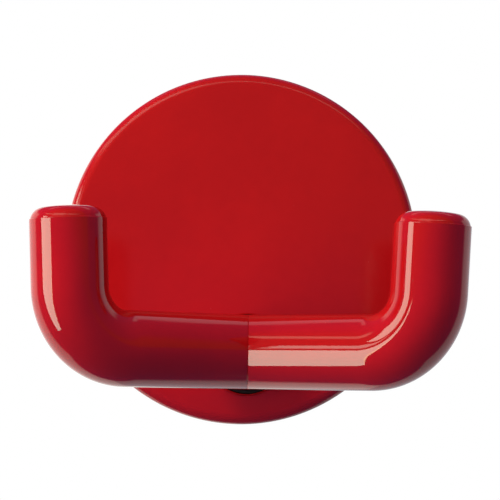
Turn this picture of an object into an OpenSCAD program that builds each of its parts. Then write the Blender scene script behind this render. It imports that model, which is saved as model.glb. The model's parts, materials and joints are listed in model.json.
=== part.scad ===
// Double coat hook on a round rose, for a wall.
// The wall is the plane y = 0, the hook stands out of it towards -Y, and Z is up.
// The origin is the middle of the rose, on the wall.

/* [Rose] */
// Diameter of the rose
rose_d = 70; // [66:1:96]
// How far the rose stands out of the wall
rose_h = 9; // [8:0.5:14]
// Wall of the rose cover
rose_wall = 2.2; // [1.8:0.1:2.4]
// Radius of the rose's front edge
rose_edge_r = 2.2; // [1:0.1:3]
// From the rose's rim to the middle of the neck
neck_inset = 13.9; // [13.6:0.1:18]
// How far the hook stands to the right of the rose's middle
neck_side = 1.4; // [0:0.1:2]

/* [Hook] */
// Outside diameter of the neck, the bar and the arms
tube_d = 14; // [12.4:0.1:17.1]
// From the wall to the middle of the mitre
reach = 28; // [23:0.5:45]
// Angle that each half of the bar turns forward
splay = 30; // [10:1:36]
// From arm to arm, between their middles at the top of the bends
arm_spacing = 64.4; // [54:0.2:100]
// Radius of the bends, at the middle of the tube
bend_r = 11.3; // [9:0.1:16]
// Angle that the arms lean outward
lean = 3; // [0:0.5:8]
// From the middle of the bar up to the top of the tips
arm_h = 25.4; // [23:0.2:60]

/* [Tips] */
// Height of the domed tip above its joint line
cap_h = 2.4; // [2.2:0.05:2.6]
// Radius of the dome's shoulder
shoulder_r = 2.5; // [1.6:0.1:2.5]
// How far the dome stands in from the arm at the joint line
cap_step = 0.2; // [0.1:0.05:0.4]
// Diameter of the plug under the dome
plug_d = 10; // [9:0.1:10.4]
// Length of the plug under the dome
plug_len = 4.5; // [3:0.5:8]

/* [Core] */
// Diameter of the steel rods in the arms
rod_d = 8; // [5:0.1:8.2]
// Thickness of the skin over the stem
skin = 1.2; // [1:0.1:1.6]
// Diameter of the spigot on the wall plate
spigot_d = 7; // [6:0.1:7.4]
// Diameter of the locking screw
grub_d = 4; // [3:0.5:5]
// Width across the flats of the locking screw's socket
grub_key = 2; // [1.5:0.5:2.5]

/* [Wall plate] */
// Thickness of the wall plate
plate_t = 3; // [2:0.1:3.6]
// Diameter of the holes for the wall screws
wall_hole_d = 5.5; // [4:0.1:7]
// From the rose's rim to the middle of a wall screw hole
wall_hole_inset = 15; // [14.5:0.5:18]
// Radial width of the carrier ring that the cover snaps on
carrier_w = 5.3; // [5:0.1:6]
// Diameter of the carrier's screws
carrier_screw_d = 2.5; // [2:0.1:3]

/* [Fits] */
// Clearance all round between a piece and the one that it goes into
fit = 0.05; // [0.02:0.01:0.08]
// Clearance between the cover and what it slides over
slide_gap = 0.3; // [0.2:0.05:0.4]
// Width of the ring that fills the gap round the neck
ring_w = 0.9; // [0.8:0.1:1.2]

/* [Hidden] */

$fn = 96;
// Overrun of a cut past the face that it starts from
over = 1;
// Larger than anything in the model
big = 400;
// Step at the ends of a bend
hair = 0.01;

// Rose
rose_r = rose_d / 2;
cover_r = rose_r - rose_wall;
cavity_h = rose_h - rose_wall;
plate_r = cover_r - 2 * slide_gap;

// Neck, bar and arms
tube_r = tube_d / 2;
bar_z = neck_inset - rose_r;
bend_angle = 90 - lean;
bar_run = arm_spacing / 2 / cos(splay) - bend_r * sin(bend_angle);
bend_rise = bend_r * (1 - cos(bend_angle));
upright = (arm_h - bend_rise) / cos(lean) - cap_h;
// Direction of the joint between the neck and an arm, seen from above
mitre = (90 - splay) / 2;
edge_break = 0.15;

// Domed tip: a shoulder arc that leaves the joint line at crease degrees, then a flatter crown
crease = 10;
dome_r = tube_r - cap_step;
shoulder_x = dome_r - shoulder_r * cos(crease);
shoulder_z = -shoulder_r * sin(crease);
crown_rise = cap_h - shoulder_z;
crown_r = (pow(shoulder_x, 2) + pow(crown_rise, 2) - pow(shoulder_r, 2)) / (2 * (crown_rise - shoulder_r));
crown_start = atan2(crown_r - crown_rise, shoulder_x);
plug_r = plug_d / 2;
dome_steps = 14;

// Neck opening of the cover, and the ring in it
neck_hole_r = tube_r + ring_w;
ring_recess = 0.4;
ring_lip_w = 1.1;
ring_lip_t = 0.8;

// Stem in the neck, and the flange at its foot
stem_r = tube_r - skin;
stem_foot_r = stem_r - 0.9;
flange_r = tube_r + 2.4;
flange_t = cavity_h - plate_t - ring_lip_t;
flange_y = plate_t + flange_t;
stem_end = reach + 2;
stem_chamfer = 0.8;
rod_r = rod_d / 2;
// Where a rod starts, clear of the other one
rod_start = rod_r * tan(splay) + 0.4;
rod_end_gap = 1;

// Spigot, its screw, and the locking screw half way along the free neck
spigot_r = spigot_d / 2;
grub_y = (rose_h + reach - tube_r / cos(splay)) / 2;
grub_r = grub_d / 2;
groove_w = 0.2;
groove_r = spigot_r - 0.6;
spigot_past_grub = grub_r + 2;
spigot_end = grub_y + spigot_past_grub;
bore_end = spigot_end + 1;
grub_recess = 0.3;
grub_socket_depth = 2;
spigot_screw_r = 2;
spigot_head_r = 4;
spigot_screw_end = grub_y - grub_r - groove_w - 2;

// Pins that stop the hook from turning
pin_r = 1;
pin_x = (stem_foot_r + flange_r) / 2;
pin_start = 0.8;
pin_end = flange_y - 0.6;

// Carrier ring, its bead and the cover's groove
carrier_r = cover_r - slide_gap;
carrier_in_r = carrier_r - carrier_w;
carrier_end = cavity_h - 0.6;
bead_h = 0.6;
bead_w = 1;
bead_y = (plate_t + carrier_end) / 2;
bead_gap = 0.2;
carrier_pitch_r = (carrier_r + carrier_in_r) / 2;
carrier_screw_r = carrier_screw_d / 2;
carrier_head_r = carrier_screw_r + 1.1;
carrier_screw_start = 0.6;
carrier_screws_n = 3;

// Wall screw holes
wall_hole_x = rose_r - wall_hole_inset;

red = [0.71, 0.07, 0.09];
steel = [0.72, 0.73, 0.75];
dark_steel = [0.36, 0.37, 0.39];
zinc = [0.60, 0.62, 0.64];
black = [0.06, 0.06, 0.06];
grey = [0.30, 0.31, 0.33];

function arc(x, y, r, from, to, steps) = [
    for (i = [0:steps])
        let (a = from + (to - from) * i / steps)
            [x + r * cos(a), y + r * sin(a)]
];

// ---- frames ----

// Turns +Z away from the wall, so that a height is a distance from the wall
module from_wall() {
    rotate([90, 0, 0]) children();
}

// Moves the hook and what holds it sideways from the rose's middle
module beside() {
    translate([neck_side, 0, 0]) children();
}

// The same as from_wall, on the neck's line
module on_neck() {
    translate([0, 0, bar_z]) from_wall() children();
}

// The right half of the hook: +X runs out along the bar from the mitre
module right_side() {
    translate([0, -reach, bar_z]) rotate([0, 0, -splay]) children();
}

module left_side() {
    mirror([1, 0, 0]) right_side() children();
}

// +Z runs up the arm from the top of the bend
module on_arm() {
    translate([bar_run, 0, bend_r]) rotate([0, lean, 0]) translate([bend_r, 0, 0]) children();
}

// ---- shared shapes ----

// A bar, a bend and an upright. The bend is thinner by a hair, so that each end meets in a clean face
module bent_bar(r, start, rise) {
    translate([bar_run, 0, 0]) rotate([0, -90, 0]) cylinder(r = r, h = bar_run - start);
    translate([bar_run, 0, bend_r]) rotate([90, 0, 0])
        rotate_extrude(angle = bend_angle, start = -90) translate([bend_r, 0]) circle(r = r - hair);
    on_arm() cylinder(r = r, h = rise);
}

// The space that the right arm takes up at the mitre, between the other arm and the neck
module right_wedge() {
    translate([0, -reach, bar_z]) linear_extrude(height = big, center = true)
        polygon([[0, 0], [0, -big], [big, -big], [big, big * tan(mitre)]]);
}

// The space that the neck takes up at the mitre
module neck_wedge() {
    translate([0, -reach, bar_z]) linear_extrude(height = big, center = true)
        polygon([[0, 0], [big, big * tan(mitre)], [big, 3 * big], [-big, 3 * big], [-big, big * tan(mitre)]]);
}

// Clearance for the stem, from its foot to its end
module stem_space() {
    on_neck() translate([0, 0, plate_t]) cylinder(r = stem_r + fit, h = stem_end + fit - plate_t);
}

module carrier_screw_places() {
    for (i = [0:carrier_screws_n - 1])
        rotate([0, 0, 90 + i * 360 / carrier_screws_n]) translate([carrier_pitch_r, 0, 0]) children();
}

module pin_places() {
    for (side = [-1, 1])
        translate([side * pin_x, 0, 0]) children();
}

module countersunk_screw(r, head_r, length) {
    cylinder(r = r, h = length);
    cylinder(r1 = head_r, r2 = r, h = head_r - r);
}

// ---- wall side ----

module wall_plate() {
    color(steel) difference() {
        from_wall() cylinder(r = plate_r, h = plate_t);
        for (side = [-1, 1])
            translate([side * wall_hole_x, over, 0]) from_wall()
                cylinder(r = wall_hole_d / 2, h = plate_t + 2 * over);
        beside() on_neck() {
            translate([0, 0, -over]) cylinder(r = spigot_screw_r + fit, h = plate_t + 2 * over);
            cylinder(r1 = spigot_head_r + fit, r2 = spigot_screw_r + fit, h = spigot_head_r - spigot_screw_r);
            pin_places() translate([0, 0, pin_start]) cylinder(r = pin_r, h = plate_t);
        }
        from_wall() carrier_screw_places()
            translate([0, 0, carrier_screw_start]) cylinder(r = carrier_screw_r, h = plate_t);
    }
}

module plate_spigot() {
    color(dark_steel) beside() on_neck() difference() {
        translate([0, 0, plate_t]) cylinder(r = spigot_r, h = spigot_end - plate_t);
        translate([0, 0, grub_y - grub_r - groove_w]) difference() {
            cylinder(r = spigot_r + over, h = 2 * (grub_r + groove_w));
            cylinder(r = groove_r, h = 2 * (grub_r + groove_w));
        }
        translate([0, 0, plate_t - over]) cylinder(r = spigot_screw_r, h = spigot_screw_end + 1 - plate_t + over);
    }
}

module spigot_screw() {
    color(dark_steel) beside() on_neck() difference() {
        countersunk_screw(spigot_screw_r, spigot_head_r, spigot_screw_end);
        translate([0, 0, -over]) cylinder(d = 2.5 / cos(30), h = over + 1.3, $fn = 6);
    }
}

module locating_pins() {
    color(steel) beside() on_neck() pin_places()
        translate([0, 0, pin_start]) cylinder(r = pin_r, h = pin_end - pin_start);
}

module cover_carrier() {
    color(grey) difference() {
        from_wall() union() {
            translate([0, 0, plate_t]) cylinder(r = carrier_r, h = carrier_end - plate_t);
            translate([0, 0, bead_y - bead_w / 2]) cylinder(r = carrier_r + bead_h, h = bead_w);
        }
        from_wall() translate([0, 0, plate_t - over]) cylinder(r = carrier_in_r, h = cavity_h);
        beside() on_neck() translate([0, 0, plate_t - over]) cylinder(r = flange_r + slide_gap, h = cavity_h);
        from_wall() carrier_screw_places() {
            translate([0, 0, plate_t - over]) cylinder(r = carrier_screw_r + fit, h = cavity_h);
            translate([0, 0, carrier_end - carrier_head_r + carrier_screw_r])
                cylinder(r1 = carrier_screw_r + fit, r2 = carrier_head_r + fit, h = carrier_head_r - carrier_screw_r);
        }
    }
}

module carrier_screws() {
    color(dark_steel) from_wall() carrier_screw_places()
        translate([0, 0, carrier_end]) mirror([0, 0, 1]) difference() {
            countersunk_screw(carrier_screw_r, carrier_head_r, carrier_end - carrier_screw_start);
            translate([0, 0, -over]) cylinder(d = 1.5 / cos(30), h = over + 1, $fn = 6);
        }
}

module rose_cover() {
    color(red) difference() {
        from_wall() rotate_extrude() polygon(concat(
            [[0, 0], [rose_r, 0]],
            arc(rose_r - rose_edge_r, rose_h - rose_edge_r, rose_edge_r, 0, 90, 12),
            [[0, rose_h]]
        ));
        from_wall() translate([0, 0, -over]) cylinder(r = cover_r, h = cavity_h + over);
        from_wall() translate([0, 0, bead_y - bead_w / 2 - bead_gap])
            cylinder(r = carrier_r + bead_h + bead_gap, h = bead_w + 2 * bead_gap);
        beside() on_neck() cylinder(r = neck_hole_r, h = rose_h + over);
    }
}

// ---- neck ----

module neck_ring() {
    color(black) beside() on_neck() difference() {
        union() {
            translate([0, 0, flange_y]) cylinder(r = neck_hole_r + ring_lip_w, h = ring_lip_t);
            translate([0, 0, flange_y]) cylinder(r = neck_hole_r, h = rose_h - ring_recess - flange_y);
        }
        cylinder(r = tube_r, h = rose_h + over);
    }
}

module stem_flange() {
    color(zinc) beside() on_neck() difference() {
        translate([0, 0, plate_t]) cylinder(r = flange_r, h = flange_t);
        cylinder(r = stem_foot_r, h = rose_h);
        pin_places() cylinder(r = pin_r, h = pin_end);
    }
}

module core_stem() {
    color(zinc) beside() difference() {
        on_neck() union() {
            translate([0, 0, plate_t]) cylinder(r = stem_foot_r, h = flange_t);
            translate([0, 0, flange_y]) cylinder(r = stem_r, h = stem_end - stem_chamfer - flange_y);
            translate([0, 0, stem_end - stem_chamfer])
                cylinder(r1 = stem_r, r2 = stem_r - stem_chamfer, h = stem_chamfer);
        }
        on_neck() translate([0, 0, plate_t - over]) cylinder(r = spigot_r + fit, h = bore_end - plate_t + over);
        right_side() translate([rod_start, 0, 0]) rotate([0, 90, 0]) cylinder(r = rod_r, h = tube_d);
        left_side() translate([rod_start, 0, 0]) rotate([0, 90, 0]) cylinder(r = rod_r, h = tube_d);
        translate([0, -grub_y, bar_z - tube_d]) cylinder(r = grub_r, h = tube_d);
    }
}

module grub_screw() {
    color(dark_steel) beside() translate([0, -grub_y, bar_z - tube_r + grub_recess]) difference() {
        cylinder(r = grub_r, h = tube_r - grub_recess - groove_r);
        translate([0, 0, -over]) cylinder(d = grub_key / cos(30), h = over + grub_socket_depth, $fn = 6);
    }
}

module neck_sleeve() {
    color(red) beside() difference() {
        intersection() {
            on_neck() translate([0, 0, flange_y]) cylinder(r = tube_r, h = reach - flange_y + tube_d);
            neck_wedge();
        }
        stem_space();
        translate([0, -grub_y, bar_z - tube_d]) cylinder(r = grub_r + 2 * fit, h = tube_d);
    }
}

// ---- arms ----

module core_rod() {
    bent_bar(rod_r, rod_start, upright - plug_len - rod_end_gap);
}

module left_core_rod() {
    color(steel) beside() left_side() core_rod();
}

module right_core_rod() {
    color(steel) beside() right_side() core_rod();
}

// The right arm's moulding, round its rod, with an open top for the tip's plug
module arm_skin() {
    difference() {
        intersection() {
            right_side() union() {
                bent_bar(tube_r, -tube_d, upright - edge_break);
                on_arm() translate([0, 0, upright - edge_break])
                    cylinder(r1 = tube_r, r2 = tube_r - edge_break, h = edge_break);
            }
            right_wedge();
        }
        right_side() bent_bar(rod_r + fit, -tube_d, upright);
        right_side() on_arm() translate([0, 0, upright - plug_len - fit])
            cylinder(r = plug_r + fit, h = plug_len + fit + over);
        stem_space();
    }
}

module left_arm() {
    color(red) beside() mirror([1, 0, 0]) arm_skin();
}

module right_arm() {
    color(red) beside() arm_skin();
}

module tip_cap() {
    on_arm() translate([0, 0, upright]) {
        rotate_extrude() polygon(concat(
            [[0, 0]],
            arc(shoulder_x, shoulder_z, shoulder_r, crease, crown_start, dome_steps),
            arc(0, cap_h - crown_r, crown_r, crown_start, 90, dome_steps)
        ));
        translate([0, 0, -plug_len]) cylinder(r = plug_r, h = plug_len);
    }
}

module left_tip_cap() {
    color(red) beside() left_side() tip_cap();
}

module right_tip_cap() {
    color(red) beside() right_side() tip_cap();
}

wall_plate();
plate_spigot();
spigot_screw();
locating_pins();
cover_carrier();
carrier_screws();
rose_cover();
neck_ring();
stem_flange();
core_stem();
left_core_rod();
right_core_rod();
grub_screw();
neck_sleeve();
left_arm();
right_arm();
left_tip_cap();
right_tip_cap();
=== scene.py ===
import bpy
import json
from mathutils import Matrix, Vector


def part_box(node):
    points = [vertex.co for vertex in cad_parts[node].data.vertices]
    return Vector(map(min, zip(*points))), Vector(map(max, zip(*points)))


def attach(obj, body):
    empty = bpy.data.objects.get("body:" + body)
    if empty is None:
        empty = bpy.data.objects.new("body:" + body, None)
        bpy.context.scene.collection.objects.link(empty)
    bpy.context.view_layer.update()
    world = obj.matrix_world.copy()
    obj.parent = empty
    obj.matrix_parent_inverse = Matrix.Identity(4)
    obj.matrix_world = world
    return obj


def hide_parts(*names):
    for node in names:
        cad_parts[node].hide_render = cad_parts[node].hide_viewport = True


bl_info = {
    "name": "Double coat hook",
    "version": (1, 0, 0),
    "blender": (4, 5, 0),
    "location": "3D View > Sidebar > Coat hook",
    "description": "Builds the finished pieces of a double coat hook on its fixed frame",
    "category": "Object",
}

import json
import math

import bmesh
import bpy
from mathutils import Matrix, Vector

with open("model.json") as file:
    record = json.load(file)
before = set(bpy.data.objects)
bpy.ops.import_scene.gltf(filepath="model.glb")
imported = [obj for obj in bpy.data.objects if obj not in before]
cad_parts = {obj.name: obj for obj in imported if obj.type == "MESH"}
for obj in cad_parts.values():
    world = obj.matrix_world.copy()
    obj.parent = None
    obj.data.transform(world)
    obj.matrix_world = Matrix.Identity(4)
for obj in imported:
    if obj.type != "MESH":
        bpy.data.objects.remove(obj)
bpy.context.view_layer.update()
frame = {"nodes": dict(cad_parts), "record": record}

MM = 0.001
# Round pieces are made with this many points in a turn
AROUND = 144
# Edges sharper than this stay crisp
CREASE = math.radians(32)
# Edges sharper than this are rounded where a piece's edges are softened
BEVELLED = math.radians(40)
# Points nearer than this are taken as one
NEAR = 1e-7
# The axes of a box's corners
X, Y, Z = 0, 1, 2


def span(node, axis):
    """The lowest and highest coordinate of a CAD node, without the last digits that its mesh adds."""
    return tuple(round(corner[axis], 5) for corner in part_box(node))


def middle(node, axis):
    """The middle of a CAD node along an axis."""
    return sum(span(node, axis)) / 2


def half(node, axis):
    """Half the length of a CAD node along an axis."""
    return (span(node, axis)[1] - span(node, axis)[0]) / 2


ROSE_R = half("rose_cover", X)
ROSE_DEPTH = -span("rose_cover", Y)[0]
TUBE_R = half("neck_sleeve", X)
NECK_X = middle("neck_sleeve", X)
BAR_Z = middle("neck_sleeve", Z)
REACH = -span("neck_sleeve", Y)[0]
PLATE_R = half("wall_plate", X)
PLATE_T = -span("wall_plate", Y)[0]
SLEEVE_START = -span("neck_sleeve", Y)[1]
RING_R = half("neck_ring", X)
RING_TOP = -span("neck_ring", Y)[0]
SPIGOT_SCREW_END = -span("spigot_screw", Y)[0]
PIN_R = 1 * MM
PIN_X = half("locating_pins", X) - PIN_R
GRUB_R = half("grub_screw", X)
GRUB_Y = middle("grub_screw", Y)
GRUB_LOW, GRUB_HIGH = span("grub_screw", Z)
# The middle of the mitre, which the glowing panels and the fill light are placed round
HOOK_MIDDLE = Vector((NECK_X, -REACH, BAR_Z))

# How far a cutter reaches past the surface that it cuts
OVER = 1 * MM
# Roundings of the rose's neck opening, its rim and the corner inside it
MOUTH_EDGE = 0.25 * MM
RIM_EDGE = 0.3 * MM
INNER_CORNER = 0.4 * MM
# Straight strips beside the neck opening's rounding and below the front edge's
MOUTH_STRIP = 0.15 * MM
SKIRT_STRIP = 0.3 * MM
# From the wall to the lower rows of points on the rose's skirt
SKIRT_ROWS = (4 * MM, 2 * MM, 0.5 * MM)
# Points in a turn of the rose, and rows of points across its front and its ceiling
ROSE_AROUND = 192
FRONT_ROWS = 64
CEILING_ROWS = 22
# Where the two sink marks lie on the rose's front, and how far they spread
SINK_MARKS = (Vector((5.8, 29.1)) * MM, Vector((-22.9, 8.3)) * MM)
SINK_SPREAD = 3.2 * MM
# Straight strips beside the roundings at the mitre and at the other ends of the tubes
MITRE_STRIP = 0.12 * MM
EDGE_STRIP = 0.1 * MM
# Clearance round a tip's plug, the plug's chamfer, and the narrow strip under the dome's edge
PLUG_FIT = 0.05 * MM
PLUG_CHAMFER = 0.3 * MM
DOME_EDGE = 0.06 * MM
# The neck: the rounding at its front, and from the wall to where it starts to follow the mitre
NECK_EDGE = 0.15 * MM
NECK_LEVEL = 17 * MM
# The rubber ring: the thickness of the flange at its foot, and the rounding at its front
RING_FLANGE = 0.8 * MM
RING_EDGE = 0.22 * MM
# The locking screw: the gap round it, its chamfer, and its socket's width and depth
GRUB_GAP = 0.1 * MM
GRUB_CHAMFER = 0.3 * MM
GRUB_KEY = 2 * MM
GRUB_KEY_DEPTH = 2 * MM
# The wall plate's two holes for the wall screws: how far from the rose's middle, and their radius
WALL_HOLE_X = 20 * MM
WALL_HOLE_R = 2.75 * MM
# From the wall to the bottom of the pins' holes
PIN_START = 0.8 * MM
# The countersunk hole for the spigot screw
COUNTERSINK_R = 4.05 * MM
COUNTERSINK_DEPTH = 2 * MM
SPIGOT_HOLE_R = 2.05 * MM
# The holes for the carrier's three screws: their circle, their radius and from the wall to their bottom
CARRIER_HOLE_REACH = 29.85 * MM
CARRIER_HOLE_R = 1.25 * MM
CARRIER_HOLE_START = 0.6 * MM
# Rounding of the wall plate's edges
PLATE_EDGE = 0.15 * MM
# The spigot screw: its head's face, rim and depth, its shank, its end and its socket
HEAD_FACE_R = 3.7 * MM
HEAD_R = 3.75 * MM
HEAD_RIM = 0.25 * MM
HEAD_DEPTH = 2 * MM
SHANK_R = 2 * MM
SHANK_END_R = 1.5 * MM
SHANK_CHAMFER = 0.5 * MM
SPIGOT_KEY = 2.5 * MM
SPIGOT_KEY_DEPTH = 1.3 * MM
# Rounding of both screws' edges
SCREW_EDGE = 0.06 * MM


def size(name, description, default):
    """A length in metres that the sidebar shows and a user may change."""
    return bpy.props.FloatProperty(
        name=name, description=description, default=default, unit="LENGTH", precision=5
    )


def angle(name, description, degrees):
    """An angle that the sidebar shows in degrees."""
    return bpy.props.FloatProperty(
        name=name, description=description, default=math.radians(degrees), subtype="ANGLE"
    )


def share(name, description, default):
    """A plain factor from 0 to 1."""
    return bpy.props.FloatProperty(name=name, description=description, default=default, min=0, max=1)


def colour(name, description, default):
    """A colour, in linear red, green and blue."""
    return bpy.props.FloatVectorProperty(
        name=name, description=description, default=default, size=3, subtype="COLOR", min=0, max=1
    )


class RoseSizes(bpy.types.PropertyGroup):
    """The round cover and the ring round the neck."""

    radius: size("Radius", "Outer radius of the rose", ROSE_R)
    depth: size("Depth", "How far the rose stands out of the wall", ROSE_DEPTH)
    wall: size("Wall", "Wall of the cover", 2.2 * MM)
    edge: size("Edge", "Radius of the front edge", 2.2 * MM)
    neck_gap: size("Neck gap", "Width of the ring between the neck and the cover", 0.9 * MM)
    groove_start: size("Groove start", "From the wall to the near side of the snap groove", 3.9 * MM)
    groove_end: size("Groove end", "From the wall to the far side of the snap groove", 5.3 * MM)
    groove_depth: size("Groove depth", "Depth of the snap groove inside the cover", 0.5 * MM)
    sink: size("Sink", "Depth of the two sink marks on the front", 0.012 * MM)


class HookSizes(bpy.types.PropertyGroup):
    """The neck, the bar and the two arms."""

    tube: size("Tube", "Outer radius of the neck, the bar and the arms", TUBE_R)
    reach: size("Reach", "From the wall to the middle of the mitre", REACH)
    bar_z: size("Bar height", "Height of the bar's middle", BAR_Z)
    side: size("Side", "How far the hook stands to the right of the rose's middle", NECK_X)
    splay: angle("Splay", "Angle that each half of the bar turns forward", 30)
    spacing: size("Arm spacing", "Between the arms' middles at the top of the bends", 64.4 * MM)
    bend: size("Bend", "Radius of the bends at the middle of the tube", 11.3 * MM)
    lean: angle("Lean", "Angle that the arms lean outward", 3)
    height: size("Height", "From the middle of the bar to the top of the tips", 25.4 * MM)
    mitre_edge: size("Mitre edge", "Rounding of the arms' edge at the mitre", 0.12 * MM)
    top_edge: size("Top edge", "Rounding of the arms' edge below the tips", 0.15 * MM)
    bore: size("Bore", "Radius of the arms' bore for the rods", 4.05 * MM)
    stem: size("Stem", "Radius of the neck's bore for the stem", 5.85 * MM)
    stem_end: size("Stem end", "From the wall to the end of the stem's bore", 30.05 * MM)


class TipSizes(bpy.types.PropertyGroup):
    """The two domed tips."""

    height: size("Height", "Height of the dome above its joint line", 2.4 * MM)
    step: size("Step", "How far the dome stands in from the arm at the joint line", 0.2 * MM)
    shoulder: size("Shoulder", "Radius of the dome's shoulder", 2.5 * MM)
    crease: angle("Crease", "Lean of the dome's side at the joint line", 10)
    plug: size("Plug", "Radius of the plug under the dome", 5.0 * MM)
    plug_length: size("Plug length", "Length of the plug under the dome", 4.5 * MM)


class Finishes(bpy.types.PropertyGroup):
    """Colours and gloss of the materials."""

    red: colour("Red", "Colour of the red nylon", (0.520, 0.0062, 0.0085))
    deep_red: colour("Deep red", "Its darker drift where the moulding is thick", (0.455, 0.0050, 0.0080))
    gloss: share("Gloss roughness", "Roughness of the red nylon", 0.02)
    rose_gloss: share("Rose roughness", "Roughness of the rose, which is a little softer", 0.13)
    # The rubber ring's near-black colour is painted shade: it stands in for the shadow in the gap where the
    # neck enters the rose.
    ring_shade_black: colour("Black", "Colour of the rubber ring", (0.014, 0.007, 0.007))
    grey: colour("Grey", "Colour of the carrier's plastic", (0.10, 0.105, 0.115))
    steel: colour("Steel", "Colour of the wall plate", (0.56, 0.57, 0.58))
    zinc: colour("Zinc", "Colour of the plated core", (0.50, 0.505, 0.52))
    screw: colour("Screw", "Colour of the screws", (0.20, 0.20, 0.215))


class StageSettings(bpy.types.PropertyGroup):
    """The floor and the camera."""

    floor_z: size("Floor", "Height of the floor, well below the hook", -0.30)
    floor_r: size("Floor radius", "Radius of the floor", 0.80)
    lens: bpy.props.FloatProperty(name="Lens", description="Focal length in millimetres", default=142.11)
    camera: bpy.props.FloatVectorProperty(
        name="Camera", description="Where the camera stands", default=(-0.001966, -0.400, -0.029393),
        size=3, subtype="TRANSLATION", unit="LENGTH",
    )
    yaw: angle("Yaw", "How far the camera turns to the right of straight ahead", 0.5415)
    pitch: angle("Pitch", "How far the camera looks up", 4.235)
    roll: angle("Roll", "How far the camera is tipped", 0.907)


# ---- node trees ----


class Value:
    """A socket whose arithmetic adds Math nodes to its tree."""

    def __init__(self, tree, socket):
        self.tree, self.socket = tree, socket

    def __add__(self, other):
        return self.tree.maths("ADD", self, other)

    def __sub__(self, other):
        return self.tree.maths("SUBTRACT", self, other)

    def __rsub__(self, other):
        return self.tree.maths("SUBTRACT", other, self)

    def __mul__(self, other):
        return self.tree.maths("MULTIPLY", self, other)

    def __truediv__(self, other):
        return self.tree.maths("DIVIDE", self, other)

    def __rtruediv__(self, other):
        return self.tree.maths("DIVIDE", other, self)

    __radd__ = __add__
    __rmul__ = __mul__


def found(sockets, key):
    """A node's socket by its identifier, its name or its place in the list."""
    if isinstance(key, int):
        return sockets[key]
    return next((s for s in sockets if s.identifier == key), None) or sockets[key]


class Tree:
    """Adds nodes and links to one node tree."""

    def __init__(self, tree):
        self.tree = tree

    def node(self, kind, settings=(), sockets=(), out=0):
        """A node of that kind, with its settings set first, then its sockets' values or links."""
        made = self.tree.nodes.new(kind)
        for name, value in dict(settings).items():
            setattr(made, name, value)
        for key, value in dict(sockets).items():
            target = found(made.inputs, key)
            if isinstance(value, Value):
                self.tree.links.new(value.socket, target)
            else:
                target.default_value = value
        return Value(self, found(made.outputs, out)) if made.outputs else made

    def also(self, value, out):
        """Another output of the node that a value came from."""
        return Value(self, found(value.socket.node.outputs, out))

    def maths(self, operation, a, b=0.0):
        """One step of arithmetic on numbers or values."""
        return self.node("ShaderNodeMath", {"operation": operation}, {0: a, 1: b})

    def mix(self, factor, a, b):
        """A blend of two colours."""
        a, b = (c if isinstance(c, Value) else (*c, 1) for c in (a, b))
        sockets = {"Factor_Float": factor, "A_Color": a, "B_Color": b}
        return self.node("ShaderNodeMix", {"data_type": "RGBA"}, sockets, "Result_Color")

    def blend_in(self, value, low, high):
        """0 below low, 1 above high, and smooth between."""
        return self.node(
            "ShaderNodeMapRange", {"interpolation_type": "SMOOTHSTEP"},
            {"Value": value, "From Min": low, "From Max": high},
        )

    def band(self, value, rise, fall):
        """1 between two soft edges, each given as the values where it starts and ends."""
        return self.blend_in(value, *rise) * (1 - self.blend_in(value, *fall))


# ---- materials ----


def surface_tree(name):
    """A new material's tree, with the place on the piece that its patterns read."""
    made = bpy.data.materials.new(name)
    made.use_nodes = True
    made.node_tree.nodes.clear()
    tree = Tree(made.node_tree)
    place = tree.node("ShaderNodeTexCoord", out="Object")
    return made, tree, place


def stretched(tree, place, scale, turn=(0, 0, 0)):
    """The place, scaled along each axis, for a pattern that is longer one way."""
    return tree.node("ShaderNodeMapping", {}, {"Vector": place, "Scale": scale, "Rotation": turn})


def noise(tree, place, scale, detail=2.0, roughness=0.5):
    """Cloudy noise, with more fine grain the higher its detail and roughness are."""
    sockets = {"Vector": place, "Scale": scale, "Detail": detail, "Roughness": roughness}
    return tree.node("ShaderNodeTexNoise", {}, sockets)


def bump(tree, height, distance, strength, normal=None):
    """A normal that a height tips, laid over an earlier normal if there is one."""
    sockets = {"Height": height, "Distance": distance, "Strength": strength}
    if normal is not None:
        sockets["Normal"] = normal
    return tree.node("ShaderNodeBump", {}, sockets)


def finish_surface(tree, **sockets):
    """Ends a material's tree with its shader; a socket's name is given in small letters and underscores."""
    names = {key.replace("_", " ").title().replace("Ior", "IOR"): value for key, value in sockets.items()}
    shader = tree.node("ShaderNodeBsdfPrincipled", {}, names)
    tree.node("ShaderNodeOutputMaterial", {}, {"Surface": shader})


def red_nylon(finish, gloss=None):
    """Gloss nylon: a slow drift of colour, a very fine moulding ripple, specks of dust and hairlines."""
    made, tree, place = surface_tree("Red_nylon")
    drift = noise(tree, place, 45, 3)
    cloud = noise(tree, place, 420, 4, 0.6)
    tone = tree.blend_in(drift * 0.75 + cloud * 0.25, 0.30, 0.70)
    paint = tree.mix(tone, finish.deep_red, finish.red)
    # Pale specks of dust, in a few places
    cells = {"Vector": place, "Scale": 520, "Randomness": 1.0}
    speck = 1 - tree.blend_in(tree.node("ShaderNodeTexVoronoi", {"feature": "F1"}, cells), 0.02, 0.06)
    dust = speck * tree.blend_in(noise(tree, place, 160, 1), 0.62, 0.72)
    paint = tree.mix(dust * 0.22, paint, (0.62, 0.20, 0.18))
    # Hairlines from handling, in two directions
    hair_a = noise(tree, stretched(tree, place, (90, 1400, 3200), (0.2, 0.1, 0.35)), 1.0, 1)
    hair_b = noise(tree, stretched(tree, place, (2600, 1200, 110), (0.1, 0.4, 0.15)), 1.0, 1)
    hairline = tree.blend_in(hair_a, 0.70, 0.76) + tree.blend_in(hair_b, 0.71, 0.77)
    rough = (gloss or finish.gloss) + cloud * 0.015 + hairline * 0.04 + dust * 0.25
    ripple = noise(tree, place, 260, 2, 0.4)
    normal = bump(tree, ripple, 0.00004, 0.12)
    normal = bump(tree, hairline + noise(tree, place, 2400, 2) * 0.6, 0.000006, 0.10, normal)
    finish_surface(tree, base_color=paint, roughness=rough, ior=1.53, normal=normal)
    return made


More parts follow.
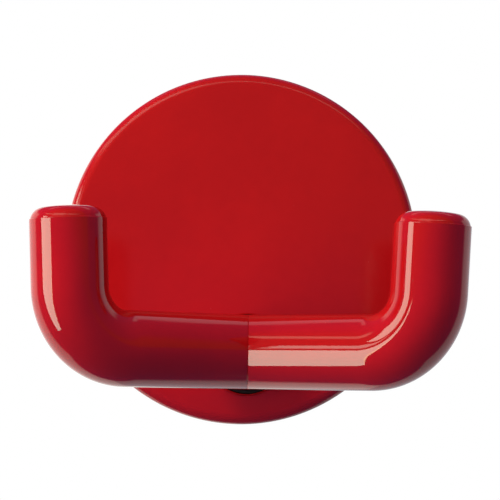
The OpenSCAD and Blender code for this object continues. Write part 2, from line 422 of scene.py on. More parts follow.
def rose_nylon(finish):
    """The same nylon with the rose's softer gloss."""
    return red_nylon(finish, finish.rose_gloss)


def black_rubber(finish):
    """Soft matt rubber with a fine pebbled grain and a little grey dust; its near-black colour and low
    specular level are painted shade for the shadow in the gap round the neck's foot.
    """
    made, tree, place = surface_tree("Black_rubber")
    grain = noise(tree, place, 3800, 3, 0.6)
    dust = tree.blend_in(noise(tree, place, 300, 4, 0.7), 0.52, 0.80)
    # Near-black base: painted shade for the shadow gap round the neck's foot; the grey dust mixed in is real
    # dust.
    paint = tree.mix(dust * 0.5, finish.ring_shade_black, (0.030, 0.020, 0.019))
    normal = bump(tree, grain, 0.00003, 0.5)
    rough = 0.52 + grain * 0.22
    finish_surface(tree, base_color=paint, roughness=rough, normal=normal, specular_ior_level=0.2)
    return made


def carrier_plastic(finish):
    """Grey moulded plastic with a fine spark-eroded grain."""
    made, tree, place = surface_tree("Carrier_plastic")
    grain = noise(tree, place, 2600, 4, 0.65)
    drift = noise(tree, place, 90, 2)
    light = tuple(min(1.0, c * 1.35) for c in finish.grey)
    paint = tree.mix(tree.blend_in(drift, 0.3, 0.7), finish.grey, light)
    normal = bump(tree, grain, 0.00003, 0.4)
    finish_surface(tree, base_color=paint, roughness=0.40 + grain * 0.2, normal=normal)
    return made


def plate_steel(finish):
    """Stainless sheet with straight brushing, slight water stains and a few deeper scores."""
    made, tree, place = surface_tree("Plate_steel")
    brush = noise(tree, stretched(tree, place, (60, 60, 9000)), 1.0, 4, 0.7)
    score = tree.blend_in(noise(tree, stretched(tree, place, (25, 25, 2600)), 1.0, 1), 0.70, 0.75)
    stain = tree.blend_in(noise(tree, place, 70, 4, 0.6), 0.45, 0.72)
    dull = tuple(c * 0.80 for c in finish.steel)
    paint = tree.mix(stain * 0.6 + score * 0.3, finish.steel, dull)
    normal = bump(tree, brush - score * 0.8, 0.00001, 0.35)
    rough = 0.24 + brush * 0.16 + stain * 0.08
    finish_surface(tree, base_color=paint, metallic=1.0, roughness=rough, normal=normal)
    return made


def core_steel(finish):
    """Turned steel with bright zinc plating: fine turning marks and a faint blue and yellow passivation."""
    made, tree, place = surface_tree("Core_steel")
    turning = noise(tree, stretched(tree, place, (300, 7000, 300)), 1.0, 3, 0.6)
    film = tree.blend_in(noise(tree, place, 120, 3), 0.35, 0.65)
    warm = (finish.zinc[0] * 1.05, finish.zinc[1] * 1.02, finish.zinc[2] * 0.90)
    cool = (finish.zinc[0] * 0.90, finish.zinc[1] * 0.97, finish.zinc[2] * 1.08)
    paint = tree.mix(film, warm, cool)
    normal = bump(tree, turning, 0.00001, 0.3)
    finish_surface(tree, base_color=paint, metallic=1.0, roughness=0.22 + turning * 0.2, normal=normal)
    return made


def screw_steel(finish):
    """Blackened screw steel with brighter, worn patches."""
    made, tree, place = surface_tree("Screw_steel")
    grain = noise(tree, place, 1800, 4, 0.6)
    wear = tree.blend_in(noise(tree, place, 700, 3), 0.52, 0.70)
    bright = tuple(min(1.0, c * 2.0) for c in finish.screw)
    paint = tree.mix(wear * 0.6, finish.screw, bright)
    normal = bump(tree, grain, 0.00001, 0.4)
    rough = 0.30 + grain * 0.22 - wear * 0.06
    finish_surface(tree, base_color=paint, metallic=1.0, roughness=rough, normal=normal)
    return made


MAKERS = {
    "red_nylon": red_nylon,
    "rose_nylon": rose_nylon,
    "black_rubber": black_rubber,
    "carrier_plastic": carrier_plastic,
    "plate_steel": plate_steel,
    "core_steel": core_steel,
    "screw_steel": screw_steel,
}
materials = {}


def material(slot):
    """The material for one of the record's slots, made when it is first asked for."""
    if slot not in materials:
        materials[slot] = MAKERS[slot](bpy.context.scene.coat_hook_finishes)
    return materials[slot]


# ---- meshes ----


def arc(x, y, radius, start, end, steps):
    """Points on an arc, from one angle to another in degrees."""
    turns = [math.radians(start + (end - start) * i / steps) for i in range(steps + 1)]
    return [(x + radius * math.cos(a), y + radius * math.sin(a)) for a in turns]


def spread(start, end, steps, ends=False):
    """Even steps from start to end, with both ends or with neither."""
    first, stop = (0, steps + 1) if ends else (1, steps)
    return [start + (end - start) * i / steps for i in range(first, stop)]


def smoothed(bm):
    """Shades faces smooth and keeps the sharper edges crisp."""
    for face in bm.faces:
        face.smooth = True
    for edge in bm.edges:
        edge.smooth = len(edge.link_faces) == 2 and edge.calc_face_angle(0) < CREASE


def new_piece(name, bm):
    """A mesh object at the origin, with its faces outward."""
    if bm.calc_volume(signed=True) < 0:
        bmesh.ops.reverse_faces(bm, faces=bm.faces)
    smoothed(bm)
    mesh = bpy.data.meshes.new(name)
    bm.to_mesh(mesh)
    bm.free()
    piece = bpy.data.objects.new(name, mesh)
    bpy.context.collection.objects.link(piece)
    return piece


def rings_mesh(rings, closed):
    """Joins rings of points to each other, and if closed the last to the first. One point makes a pole."""
    bm = bmesh.new()
    rows = [[bm.verts.new(point) for point in ring] for ring in rings]
    around = max(len(row) for row in rows)
    for low, high in zip(rows, rows[1:] + rows[:1] if closed else rows[1:]):
        for i in range(around):
            j = (i + 1) % around
            corners = [low[i % len(low)], low[j % len(low)], high[j % len(high)], high[i % len(high)]]
            bm.faces.new(list(dict.fromkeys(corners)))
    return bm


def turned(profile, place, closed=True, around=AROUND):
    """A turned shape: profile holds (height, radius), and place puts (height, across, up) in the scene."""
    rings = []
    for height, radius in profile:
        if radius < 1e-9:
            rings.append([place(height, 0, 0)])
            continue
        turns = [2 * math.pi * i / around for i in range(around)]
        rings.append([place(height, radius * math.cos(a), radius * math.sin(a)) for a in turns])
    return rings_mesh(rings, closed)


def from_wall(x=0.0, z=0.0):
    """Puts a turned shape on an axis that stands out of the wall at x, z."""
    return lambda height, across, up: (x + across, -height, z + up)


def cut(piece, *shapes):
    """Takes shapes away from a piece, and removes them."""
    for bm in shapes:
        tool = new_piece("Cutter", bm)
        modifier = piece.modifiers.new("Cut", "BOOLEAN")
        modifier.operation, modifier.solver, modifier.object = "DIFFERENCE", "EXACT", tool
        applied(piece)
        bpy.data.objects.remove(tool)


def applied(piece):
    """Turns a piece and its modifiers into a plain mesh with clean shading."""
    graph = bpy.context.evaluated_depsgraph_get()
    mesh = bpy.data.meshes.new_from_object(piece.evaluated_get(graph))
    piece.modifiers.clear()
    bm = bmesh.new()
    bm.from_mesh(mesh)
    bmesh.ops.remove_doubles(bm, verts=bm.verts, dist=NEAR)
    bmesh.ops.dissolve_degenerate(bm, edges=bm.edges, dist=NEAR)
    smoothed(bm)
    bm.to_mesh(mesh)
    bm.free()
    old, piece.data = piece.data, mesh
    mesh.name = piece.name
    bpy.data.meshes.remove(old)
    return piece


def softened(piece, width, segments=2):
    """Rounds the sharp edges of a cut piece."""
    modifier = piece.modifiers.new("Edges", "BEVEL")
    modifier.width, modifier.segments = width, segments
    modifier.limit_method, modifier.angle_limit = "ANGLE", BEVELLED
    modifier.use_clamp_overlap = True
    return applied(piece)


def placed(piece, slot, *nodes, surface=None):
    """Gives a finished piece its material and its body, and hides the CAD nodes that it stands for."""
    piece.data.materials.clear()
    piece.data.materials.append(material(surface or slot))
    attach(piece, "root")
    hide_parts(*nodes)


def hexagon(across_flats, start, end, place):
    """A hexagonal prism for a socket."""
    radius = across_flats / 2 / math.cos(math.radians(30))
    return turned([(start, 0), (start, radius), (end, radius), (end, 0)], place, False, 6)


def cylinder(radius, start, end, place, around=AROUND // 2):
    """A plain cylinder, for a plate or a cutter."""
    return turned([(start, 0), (start, radius), (end, radius), (end, 0)], place, False, around)


# ---- rose ----


class COATHOOK_OT_rose(bpy.types.Operator):
    """Make the round cover, with its rounded edge, hollow back, snap groove and neck opening"""

    bl_idname = "coat_hook.rose"
    bl_label = "Rose cover"

    def execute(self, context):
        rose, hook = context.scene.coat_hook_rose, context.scene.coat_hook_hook
        hole = hook.tube + rose.neck_gap
        inner = rose.radius - rose.wall
        ceiling = rose.depth - rose.wall
        flat = rose.radius - rose.edge
        # Each row is (height, radius, share of the way from the neck's middle to the rose's middle)
        edge = arc(flat, ceiling + rose.wall - rose.edge, rose.edge, 90, 0, 18)
        skirt = [(h, rose.radius) for h in (rose.depth - rose.edge - SKIRT_STRIP, *SKIRT_ROWS)]
        rim = arc(rose.radius - RIM_EDGE, RIM_EDGE, RIM_EDGE, 0, -90, 5)
        rim += arc(inner + RIM_EDGE, RIM_EDGE, RIM_EDGE, -90, -180, 5)
        groove = [(rose.groove_start, inner), (rose.groove_start, inner + rose.groove_depth)]
        groove += [(rose.groove_end, inner + rose.groove_depth), (rose.groove_end, inner)]
        corner = arc(inner - INNER_CORNER, ceiling - INNER_CORNER, INNER_CORNER, 0, 90, 5)
        outside = [(h, r, 1) for r, h in edge] + [(h, r, 1) for h, r in skirt] + [(h, r, 1) for r, h in rim]
        inside = [(h, r, 1) for h, r in groove] + [(h, r, 1) for r, h in corner]
        ceiling_r = inner - INNER_CORNER
        back = [
            (ceiling, ceiling_r + (hole - ceiling_r) * i / CEILING_ROWS, 1 - i / CEILING_ROWS)
            for i in range(1, CEILING_ROWS + 1)
        ]
        start = hole + MOUTH_EDGE
        mouth = [(h, r, 0) for r, h in arc(start, rose.depth - MOUTH_EDGE, MOUTH_EDGE, 180, 90, 6)[1:]]
        mouth = [(rose.depth - MOUTH_EDGE, hole, 0)] + mouth
        front = [(rose.depth, start + MOUTH_STRIP, 0)]
        front += [
            (rose.depth, start + (flat - start) * i / FRONT_ROWS, i / FRONT_ROWS)
            for i in range(1, FRONT_ROWS)
        ]
        rows = front + outside + inside + back + mouth

        def point(height, radius, outward, turn):
            x = radius * math.cos(turn) + hook.side * (1 - outward)
            z = radius * math.sin(turn) + hook.bar_z * (1 - outward)
            if height == rose.depth:
                away = [(Vector((x, z)) - mark).length / SINK_SPREAD for mark in SINK_MARKS]
                height -= rose.sink * sum(math.exp(-(part**2)) for part in away)
            return (x, -height, z)

        turns = [2 * math.pi * i / ROSE_AROUND for i in range(ROSE_AROUND)]
        bm = rings_mesh([[point(*row, turn) for turn in turns] for row in rows], True)
        piece = new_piece("Rose_shell", bm)
        placed(piece, "red_nylon", "rose_cover", surface="rose_nylon")
        return {"FINISHED"}


# ---- arms and tips ----


def bent_tree():
    """Geometry nodes that lay a straight turned shape along one half of the hook.

    The shape's Z is the way along the tube from the mitre, its X is the side nearer the wall, and its Y is
    the outside of the bend.
    """
    group = bpy.data.node_groups.new("Bent_tube", "GeometryNodeTree")
    face = group.interface
    face.new_socket("Geometry", in_out="INPUT", socket_type="NodeSocketGeometry")
    lengths = ["Reach", "Side", "Bar Height", "Bar Run", "Bend Radius"]
    angles = ["Bend Angle", "Splay", "Mitre"]
    for name in lengths + angles:
        made = face.new_socket(name, in_out="INPUT", socket_type="NodeSocketFloat")
        made.subtype = "DISTANCE" if name in lengths else "ANGLE"
    face.new_socket("Left", in_out="INPUT", socket_type="NodeSocketBool")
    face.new_socket("Material", in_out="INPUT", socket_type="NodeSocketMaterial")
    face.new_socket("Geometry", in_out="OUTPUT", socket_type="NodeSocketGeometry")

    tree = Tree(group)
    shape = tree.node("NodeGroupInput", out="Geometry")
    given = {name: tree.also(shape, name) for name in lengths + angles + ["Left", "Material"]}
    run, bend = given["Bar Run"], given["Bend Radius"]

    near_wall = tree.node("ShaderNodeSeparateXYZ", {}, {0: tree.node("GeometryNodeInputPosition")})
    outside, station = tree.also(near_wall, 1), tree.also(near_wall, 2)

    # The mitre: each line along the tube starts at the plane that it meets first
    front_start = near_wall * tree.maths("TANGENT", given["Splay"]) * -1
    back_start = near_wall * tree.maths("TANGENT", given["Mitre"])
    start = tree.maths("MAXIMUM", front_start, back_start)
    along = station + start * tree.maths("MAXIMUM", 1 - station / run, 0.0)

    # The path: bar, bend, upright
    turned_by = tree.maths("MINIMUM", tree.maths("MAXIMUM", (along - run) / bend, 0.0), given["Bend Angle"])
    before = tree.maths("MINIMUM", along - run, 0.0)
    after = tree.maths("MAXIMUM", along - run - bend * given["Bend Angle"], 0.0)
    sine, cosine = tree.maths("SINE", turned_by), tree.maths("COSINE", turned_by)
    out = run + before + (bend + outside) * sine + after * cosine
    up = bend - (bend + outside) * cosine + after * sine

    # Turned by the splay, and mirrored for the left half
    hand = 1 - given["Left"] * 2
    splay_sine, splay_cosine = tree.maths("SINE", given["Splay"]), tree.maths("COSINE", given["Splay"])
    x = (out * splay_cosine + near_wall * splay_sine) * hand + given["Side"]
    y = near_wall * splay_cosine - out * splay_sine - given["Reach"]
    z = up + given["Bar Height"]
    position = tree.node("ShaderNodeCombineXYZ", {}, {0: x, 1: y, 2: z})
    laid = tree.node("GeometryNodeSetPosition", {}, {"Geometry": shape, "Position": position})
    turned_out = tree.node("GeometryNodeFlipFaces", {}, {"Mesh": laid})
    hands = {"Switch": given["Left"], "False": turned_out, "True": laid}
    both = tree.node("GeometryNodeSwitch", {"input_type": "GEOMETRY"}, hands)
    real = tree.node("GeometryNodeRealizeInstances", {}, {"Geometry": both})
    painted = tree.node("GeometryNodeSetMaterial", {}, {"Geometry": real, "Material": given["Material"]})
    tree.node("NodeGroupOutput", {}, {"Geometry": painted})
    return group


def path_sizes(hook):
    """The lengths and angles of one half of the hook's path, and the length of its upright with the tip."""
    bend_angle = math.radians(90) - hook.lean
    run = hook.spacing / 2 / math.cos(hook.splay) - hook.bend * math.sin(bend_angle)
    rise = hook.bend * (1 - math.cos(bend_angle))
    return {
        "Reach": hook.reach,
        "Side": hook.side,
        "Bar Height": hook.bar_z,
        "Bar Run": run,
        "Bend Radius": hook.bend,
        "Bend Angle": bend_angle,
        "Splay": hook.splay,
        "Mitre": (math.radians(90) - hook.splay) / 2,
    }, (hook.height - rise) / math.cos(hook.lean)


def bent(name, profile, closed, left, slot):
    """A turned shape laid along one half of the hook by the geometry nodes."""
    group = bpy.data.node_groups.get("Bent_tube") or bent_tree()
    piece = new_piece(name, turned(profile, lambda height, across, up: (across, up, height), closed))
    modifier = piece.modifiers.new("Bent tube", "NODES")
    modifier.node_group = group
    sizes, _ = path_sizes(bpy.context.scene.coat_hook_hook)
    values = {**sizes, "Left": left, "Material": material(slot)}
    for item in group.interface.items_tree:
        if item.in_out == "INPUT" and item.name in values:
            modifier[item.identifier] = values[item.name]
    return applied(piece)


class COATHOOK_OT_arms(bpy.types.Operator):
    """Make the two mouldings of the bar and arms, mitred at the middle and bored for their rods"""

    bl_idname = "coat_hook.arms"
    bl_label = "Arms"

    def execute(self, context):
        hook, tip = context.scene.coat_hook_hook, context.scene.coat_hook_tips
        sizes, rise = path_sizes(hook)
        run, bend_end = sizes["Bar Run"], sizes["Bar Run"] + hook.bend * sizes["Bend Angle"]
        top = bend_end + rise - tip.height
        r, mitre_edge, top_edge = hook.tube, hook.mitre_edge, hook.top_edge
        # Places along the tube: the bar, the bend and the upright, and back again through the bore
        outside = [mitre_edge + MITRE_STRIP] + spread(mitre_edge + MITRE_STRIP, run, 30)
        outside += spread(run, bend_end, 44, True)
        outside += spread(bend_end, top - top_edge - EDGE_STRIP, 12) + [top - top_edge - EDGE_STRIP]
        outer = arc(mitre_edge, r - mitre_edge, mitre_edge, 180, 90, 7) + [(s, r) for s in outside]
        outer += [(s, q) for q, s in arc(r - top_edge, top - top_edge, top_edge, 0, 90, 5)]
        socket = tip.plug + PLUG_FIT
        floor = top - tip.plug_length - PLUG_FIT
        inside = [floor] + spread(floor, bend_end, 5) + spread(bend_end, run, 24, True)
        inside += spread(run, 0, 10) + [0]
        inner = [(top, socket), (floor, socket)] + [(s, hook.bore) for s in inside]
        for name, left in (("Arm_left", True), ("Arm_right", False)):
            piece = bent(name, outer + inner, True, left, "red_nylon")
            cut(piece, cylinder(hook.stem, SLEEVE_START, hook.stem_end, from_wall(hook.side, hook.bar_z)))
            placed(piece, "red_nylon", name.split("_")[1] + "_arm")
        return {"FINISHED"}


class COATHOOK_OT_tips(bpy.types.Operator):
    """Make the two domed tips with the plugs that hold them in the arms"""

    bl_idname = "coat_hook.tips"
    bl_label = "Tips"

    def execute(self, context):
        hook, tip = context.scene.coat_hook_hook, context.scene.coat_hook_tips
        sizes, rise = path_sizes(hook)
        base = sizes["Bar Run"] + hook.bend * sizes["Bend Angle"] + rise - tip.height
        dome = hook.tube - tip.step
        shoulder_x = dome - tip.shoulder * math.cos(tip.crease)
        shoulder_z = -tip.shoulder * math.sin(tip.crease)
        crown_rise = tip.height - shoulder_z
        crown = (shoulder_x**2 + crown_rise**2 - tip.shoulder**2) / (2 * (crown_rise - tip.shoulder))
        crown_start = math.degrees(math.atan2(crown - crown_rise, shoulder_x))
        crease = math.degrees(tip.crease)
        plug_end = -tip.plug_length
        profile = [(plug_end, 0), (plug_end, tip.plug - PLUG_CHAMFER), (plug_end + PLUG_CHAMFER, tip.plug)]
        profile += [(0, tip.plug), (0, dome - DOME_EDGE)]
        profile += [(z, r) for r, z in arc(shoulder_x, shoulder_z, tip.shoulder, crease, crown_start, 26)]
        profile += [(z, r) for r, z in arc(0, tip.height - crown, crown, crown_start, 90, 22)[1:-1]]
        profile += [(tip.height, 0)]
        profile = [(base + z, r) for z, r in profile]
        for name, left in (("Tip_left", True), ("Tip_right", False)):
            piece = bent(name, profile, False, left, "red_nylon")
            placed(piece, "red_nylon", name.split("_")[1] + "_tip_cap")
        return {"FINISHED"}


# ---- neck ----


class COATHOOK_OT_neck(bpy.types.Operator):
    """Make the neck's red skin, the rubber ring round its foot, whose near-black colour is painted shade for
    the gap there, and the locking screw in its underside
    """

    bl_idname = "coat_hook.neck"
    bl_label = "Neck"

    def execute(self, context):
        hook, rose = context.scene.coat_hook_hook, context.scene.coat_hook_rose
        sizes, _ = path_sizes(hook)
        r = hook.tube
        slope = math.tan(sizes["Mitre"])
        start, end = SLEEVE_START, hook.reach
        straight_end = end - NECK_EDGE - EDGE_STRIP
        outer = [(d, r) for d in [start] + spread(start, straight_end, 56) + [straight_end]]
        outer += [(d, q) for q, d in arc(r - NECK_EDGE, end - NECK_EDGE, NECK_EDGE, 0, 90, 4)]
        inner = [(end, hook.stem), (start, hook.stem)]

        def skin(height, across, up):
            near_end = max(0.0, (height - NECK_LEVEL) / (end - NECK_LEVEL))
            return (across + hook.side, -(height - abs(across) * slope * near_end), up + hook.bar_z)

        def from_below(height, across, up):
            return (across + hook.side, GRUB_Y + up, height)

        piece = new_piece("Neck_skin", turned(outer + inner, skin))
        cut(piece, cylinder(GRUB_R + GRUB_GAP, hook.bar_z - r - OVER, hook.bar_z - r / 2, from_below, 48))
        placed(piece, "red_nylon", "neck_sleeve")

        flange_end = start + RING_FLANGE
        hole, soft = r + rose.neck_gap, RING_EDGE
        profile = [(start, r), (start, RING_R), (flange_end, RING_R), (flange_end, hole)]
        profile += [(d, hole) for d in spread(flange_end, RING_TOP - soft, 6)]
        profile += [(d, q) for q, d in arc(hole - soft, RING_TOP - soft, soft, 0, 90, 5)]
        profile += [(d, q) for q, d in arc(r + soft, RING_TOP - soft, soft, 90, 180, 5)]
        # The ring fills the gap round the neck's foot, and its near-black rubber is painted shade for the
        # shadow in that gap.
        ring = new_piece("Neck_ring", turned(profile, from_wall(hook.side, hook.bar_z)))
        placed(ring, "black_rubber", "neck_ring")

        chamfer, point = GRUB_CHAMFER, 2 * GRUB_CHAMFER
        body = [(GRUB_LOW, 0), (GRUB_LOW, GRUB_R - chamfer), (GRUB_LOW + chamfer, GRUB_R)]
        body += [(GRUB_HIGH - point, GRUB_R), (GRUB_HIGH, GRUB_R - point), (GRUB_HIGH, 0)]
        screw = new_piece("Locking_screw", turned(body, from_below, False, 64))
        cut(screw, hexagon(GRUB_KEY, GRUB_LOW - OVER, GRUB_LOW + GRUB_KEY_DEPTH, from_below))
        softened(screw, SCREW_EDGE)
        placed(screw, "screw_steel", "grub_screw")
        return {"FINISHED"}


# ---- wall side ----


class COATHOOK_OT_wall_plate(bpy.types.Operator):
    """Make the steel wall plate with its screw holes, and the countersunk screw that holds the spigot"""

    bl_idname = "coat_hook.wall_plate"
    bl_label = "Wall plate"

    def execute(self, context):
        hook = context.scene.coat_hook_hook
        side, bar_z = hook.side, hook.bar_z
        on_neck = from_wall(side, bar_z)
        through = PLATE_T + OVER
        plate = new_piece("Wall_plate", cylinder(PLATE_R, 0, PLATE_T, from_wall(), 192))
        for way in (-1, 1):
            cut(plate, cylinder(WALL_HOLE_R, -OVER, through, from_wall(way * WALL_HOLE_X), 64))
            cut(plate, cylinder(PIN_R, PIN_START, through, from_wall(side + way * PIN_X, bar_z), 32))
        countersink = [(-OVER, 0), (-OVER, COUNTERSINK_R), (0, COUNTERSINK_R)]
        countersink += [(COUNTERSINK_DEPTH, SPIGOT_HOLE_R), (through, SPIGOT_HOLE_R), (through, 0)]
        cut(plate, turned(countersink, on_neck, False, 64))
        for i in range(3):
            turn = math.radians(90 + 120 * i)
            x, z = CARRIER_HOLE_REACH * math.cos(turn), CARRIER_HOLE_REACH * math.sin(turn)
            cut(plate, cylinder(CARRIER_HOLE_R, CARRIER_HOLE_START, through, from_wall(x, z), 32))
        softened(plate, PLATE_EDGE)
        placed(plate, "plate_steel", "wall_plate")

        end = SPIGOT_SCREW_END
        body = [(0, 0), (0, HEAD_FACE_R), (HEAD_RIM, HEAD_R), (HEAD_DEPTH, SHANK_R)]
        body += [(end - SHANK_CHAMFER, SHANK_R), (end, SHANK_END_R), (end, 0)]
        screw = new_piece("Spigot_screw", turned(body, on_neck, False, 64))
        cut(screw, hexagon(SPIGOT_KEY, -OVER, SPIGOT_KEY_DEPTH, on_neck))
        softened(screw, SCREW_EDGE)
        placed(screw, "screw_steel", "spigot_screw")
        return {"FINISHED"}


def rows_with_slots():
    """The record's rows that give a node its material slot."""
    waiting, rows = [frame["record"]], []
    while waiting:
        item = waiting.pop()
        if isinstance(item, dict):
            if "node" in item and "material_slot" in item:
                rows.append(item)
            waiting.extend(item.values())
        elif isinstance(item, list):
            waiting.extend(item)
    return rows


class COATHOOK_OT_core(bpy.types.Operator):
    """Give the steel core, the carrier and their screws their finishes"""

    bl_idname = "coat_hook.core"
    bl_label = "Core and carrier"

    def execute(self, context):
        slots = {row["node"]: row["material_slot"] for row in rows_with_slots()}
        for name, node in frame["nodes"].items():
            if node.hide_render:
                continue
            node.data.materials.clear()
            node.data.materials.append(material(slots[name]))
        return {"FINISHED"}


# ---- stage ----

# From the hook to the glowing panels
PANEL_DISTANCE = 0.70
SOFTBOX_TINT = (0.86, 1.0, 0.83)
# The softbox to the left of the camera, and a band beside its head. Each row holds a name, corners in degrees
# to the left of straight ahead of the hook and degrees up, radiance and tint.
PANELS = [
    ("Softbox", [(68, -38), (54, -38), (50, -6), (50, 3.2), (61, 3.6), (80, 3.6)], 6.9, SOFTBOX_TINT),
    ("Softbox_head", [(61, 3.6), (61.5, 22), (78, 24), (80, 3.6)], 6.2, SOFTBOX_TINT),
    (
        "Softbox_rim",
        [(55.5, -38), (53.5, -38), (49.2, -6), (49.2, 3.2), (50.8, 3.2), (51, -6)], 9.5, (1.0, 0.92, 0.60),
    ),
    ("Upper_band", [(40, 8), (40, 17), (58.6, 16), (58.8, 8)], 3.6, (0.90, 1.0, 0.86)),
]
# What the room's parts shine with, in linear red, green and blue
ROOM_SHADE = (0.09, 0.080, 0.22)
ROOM_WARM = (0.45, 0.12, 0.10)
BACKDROP_LEFT = (1.25, 1.15, 1.10)
BACKDROP_RIGHT = (0.72, 0.70, 0.74)
REAR_STRIP = (0.75, 0.60, 0.72)
UPPER_LINE = (1.7, 1.5, 1.2)
WHITE = (1.0, 1.0, 1.0)
FLOOR_T = 0.01
# In millimetres, as a camera's lens is
SENSOR_WIDTH = 36


def direction(azimuth, elevation):
    """The way to a point that many degrees to the left of straight ahead of the hook, and that many up."""
    left, up = math.radians(azimuth), math.radians(elevation)
    return Vector((-math.sin(left) * math.cos(up), -math.cos(left) * math.cos(up), math.sin(up)))


def panel(name, corners, radiance, tint):
    """A glowing panel that lights the hook and shows in its reflections, but that the camera doesn't see."""
    bm = bmesh.new()
    bm.faces.new([bm.verts.new(HOOK_MIDDLE + direction(*corner) * PANEL_DISTANCE) for corner in corners])
    mesh = bpy.data.meshes.new(name)
    bm.to_mesh(mesh)
    bm.free()
    made = bpy.data.objects.new(name, mesh)
    bpy.context.collection.objects.link(made)
    surface, tree, _ = surface_tree(name)
    glow = tree.node("ShaderNodeEmission", {}, {"Color": (*tint, 1), "Strength": radiance})
    tree.node("ShaderNodeOutputMaterial", {}, {"Surface": glow})
    mesh.materials.append(surface)
    made.visible_camera = False


def fill_light(name, azimuth, elevation, distance, width, watts, tint):
    """A soft light that gives no reflection."""
    lamp = bpy.data.lights.new(name, "AREA")
    lamp.shape, lamp.size = "SQUARE", width
    lamp.energy, lamp.color = watts, tint
    made = bpy.data.objects.new(name, lamp)
    bpy.context.collection.objects.link(made)
    toward = direction(azimuth, elevation)
    made.location = toward * distance + HOOK_MIDDLE
    made.rotation_euler = toward.to_track_quat("Z", "Y").to_euler()
    made.visible_camera = made.visible_glossy = False


def studio_world():
    """A dim room in front of the hook and a bright backdrop behind it; the camera sees plain white."""
    world = bpy.data.worlds.new("Studio")
    world.use_nodes = True
    world.node_tree.nodes.clear()
    sky = Tree(world.node_tree)
    seen = sky.node("ShaderNodeLightPath", out="Is Camera Ray")
    axes = sky.node("ShaderNodeSeparateXYZ", {}, {0: sky.node("ShaderNodeTexCoord", out="Generated")})
    # Degrees to the left of straight ahead of the hook, and degrees up
    left = sky.maths("DEGREES", sky.maths("ARCTAN2", axes * -1, sky.also(axes, 1) * -1))
    up = sky.maths("DEGREES", sky.maths("ARCSINE", sky.also(axes, 2)))
    # The room in front is dim, and warmer above the hook's height
    warm = sky.blend_in(up, 1, 6) * sky.blend_in(left, -66, -60) * (1 - sky.blend_in(left, 60, 90))
    glow = sky.mix(warm, ROOM_SHADE, ROOM_WARM)
    # The backdrop behind the hook, on the left and on the right
    above_floor = sky.blend_in(up, -60, -54)
    below_strip = 1 - sky.blend_in(up, 26, 34)
    backdrop_left = sky.blend_in(left, 102, 112) * above_floor
    backdrop_right = sky.blend_in(left * -1, 98, 110) * above_floor
    glow = sky.mix(backdrop_left * below_strip, glow, BACKDROP_LEFT)
    glow = sky.mix(backdrop_right * below_strip, glow, BACKDROP_RIGHT)
    # A strip high up behind the hook
    behind = sky.blend_in(sky.maths("ABSOLUTE", left), 115, 125)
    glow = sky.mix(sky.band(up, (52, 56), (60.5, 62.5)) * behind, glow, REAR_STRIP)
    # A line of light above the hook, wider on the left
    narrow = sky.band(up, (33, 36), (39, 42)) * sky.blend_in(left, -50, -20)
    wide = sky.band(up, (24, 34), (42, 50)) * sky.blend_in(left, 0, 20)
    line = sky.maths("MAXIMUM", narrow, wide * (1 - sky.blend_in(left, 44, 56)))
    glow = sky.mix(line * (1 - sky.blend_in(left, 75, 90)), glow, UPPER_LINE)
    glow = sky.mix(seen, glow, WHITE)
    background = sky.node("ShaderNodeBackground", {}, {"Color": glow, "Strength": 1.0})
    sky.node("ShaderNodeOutputWorld", {}, {"Surface": background})
    return world


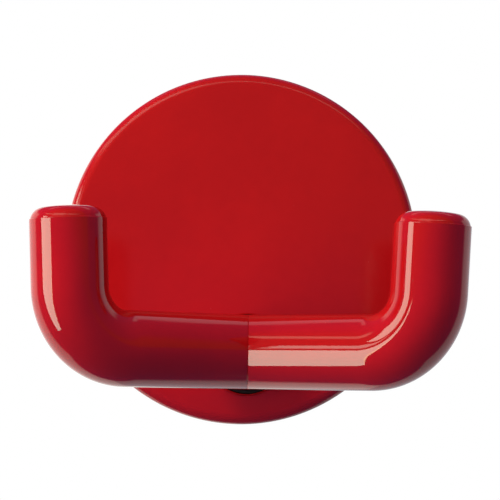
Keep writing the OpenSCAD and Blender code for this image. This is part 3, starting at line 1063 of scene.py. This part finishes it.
class COATHOOK_OT_stage(bpy.types.Operator):
    """Make the pale floor, the studio lights and the camera"""

    bl_idname = "coat_hook.stage"
    bl_label = "Stage"

    def execute(self, context):
        scene = context.scene
        stage = scene.coat_hook_stage

        def on_floor(height, across, up):
            return (across, up, stage.floor_z + height)

        floor = new_piece("Floor", cylinder(stage.floor_r, -FLOOR_T, 0, on_floor, AROUND))
        made, tree, where = surface_tree("Floor_paper")
        fibre = noise(tree, where, 900, 4, 0.6)
        paint = tree.mix(fibre, (0.80, 0.80, 0.80), (0.86, 0.86, 0.855))
        # The floor glows a little, because the room's lights are aimed at the hook
        glow = {"emission_color": (0.95, 0.97, 0.93, 1), "emission_strength": 0.62}
        finish_surface(tree, base_color=paint, roughness=0.8, normal=bump(tree, fibre, 0.0001, 0.2), **glow)
        floor.data.materials.append(made)
        floor.visible_glossy = floor.visible_diffuse = False

        for row in PANELS:
            panel(*row)
        fill_light(
            "Fill_top_left", azimuth=45, elevation=48, distance=0.32, width=0.16, watts=0.50, tint=WHITE
        )
        scene.world = studio_world()

        ahead = Vector((
            math.sin(stage.yaw) * math.cos(stage.pitch),
            math.cos(stage.yaw) * math.cos(stage.pitch),
            math.sin(stage.pitch),
        ))
        right = Vector((math.cos(stage.yaw), -math.sin(stage.yaw), 0))
        up = right.cross(ahead)
        x = right * math.cos(stage.roll) + up * math.sin(stage.roll)
        y = up * math.cos(stage.roll) - right * math.sin(stage.roll)
        lens = bpy.data.cameras.new("Camera")
        lens.sensor_width, lens.lens = SENSOR_WIDTH, stage.lens
        camera = bpy.data.objects.new("Camera", lens)
        context.collection.objects.link(camera)
        turn = Matrix((x, y, -ahead)).transposed().to_4x4()
        camera.matrix_world = Matrix.Translation(Vector(stage.camera)) @ turn
        scene.camera = camera
        scene.view_settings.view_transform = "Standard"
        return {"FINISHED"}


# ---- add-on ----

SETTINGS = {
    "coat_hook_rose": RoseSizes,
    "coat_hook_hook": HookSizes,
    "coat_hook_tips": TipSizes,
    "coat_hook_finishes": Finishes,
    "coat_hook_stage": StageSettings,
}
OPERATORS = (
    COATHOOK_OT_rose,
    COATHOOK_OT_arms,
    COATHOOK_OT_tips,
    COATHOOK_OT_neck,
    COATHOOK_OT_wall_plate,
    COATHOOK_OT_core,
    COATHOOK_OT_stage,
)


class COATHOOK_PT_pieces(bpy.types.Panel):
    """The hook's sizes, finishes and pieces, in the 3D view's sidebar."""

    bl_idname = "COATHOOK_PT_pieces"
    bl_label = "Coat hook"
    bl_space_type = "VIEW_3D"
    bl_region_type = "UI"
    bl_category = "Coat hook"

    def draw(self, context):
        for name, group in SETTINGS.items():
            box = self.layout.box()
            box.label(text=group.__doc__)
            for prop in group.__annotations__:
                box.prop(getattr(context.scene, name), prop)
        for operator in OPERATORS:
            self.layout.operator(operator.bl_idname)


def register():
    for made in (*SETTINGS.values(), *OPERATORS, COATHOOK_PT_pieces):
        bpy.utils.register_class(made)
    for name, group in SETTINGS.items():
        setattr(bpy.types.Scene, name, bpy.props.PointerProperty(type=group))


def unregister():
    for name in SETTINGS:
        delattr(bpy.types.Scene, name)
    for made in (COATHOOK_PT_pieces, *OPERATORS, *SETTINGS.values()):
        bpy.utils.unregister_class(made)


def main():
    register()
    for operator in OPERATORS:
        folder, name = operator.bl_idname.split(".")
        getattr(getattr(bpy.ops, folder), name)()


if __name__ == "__main__":
    main()
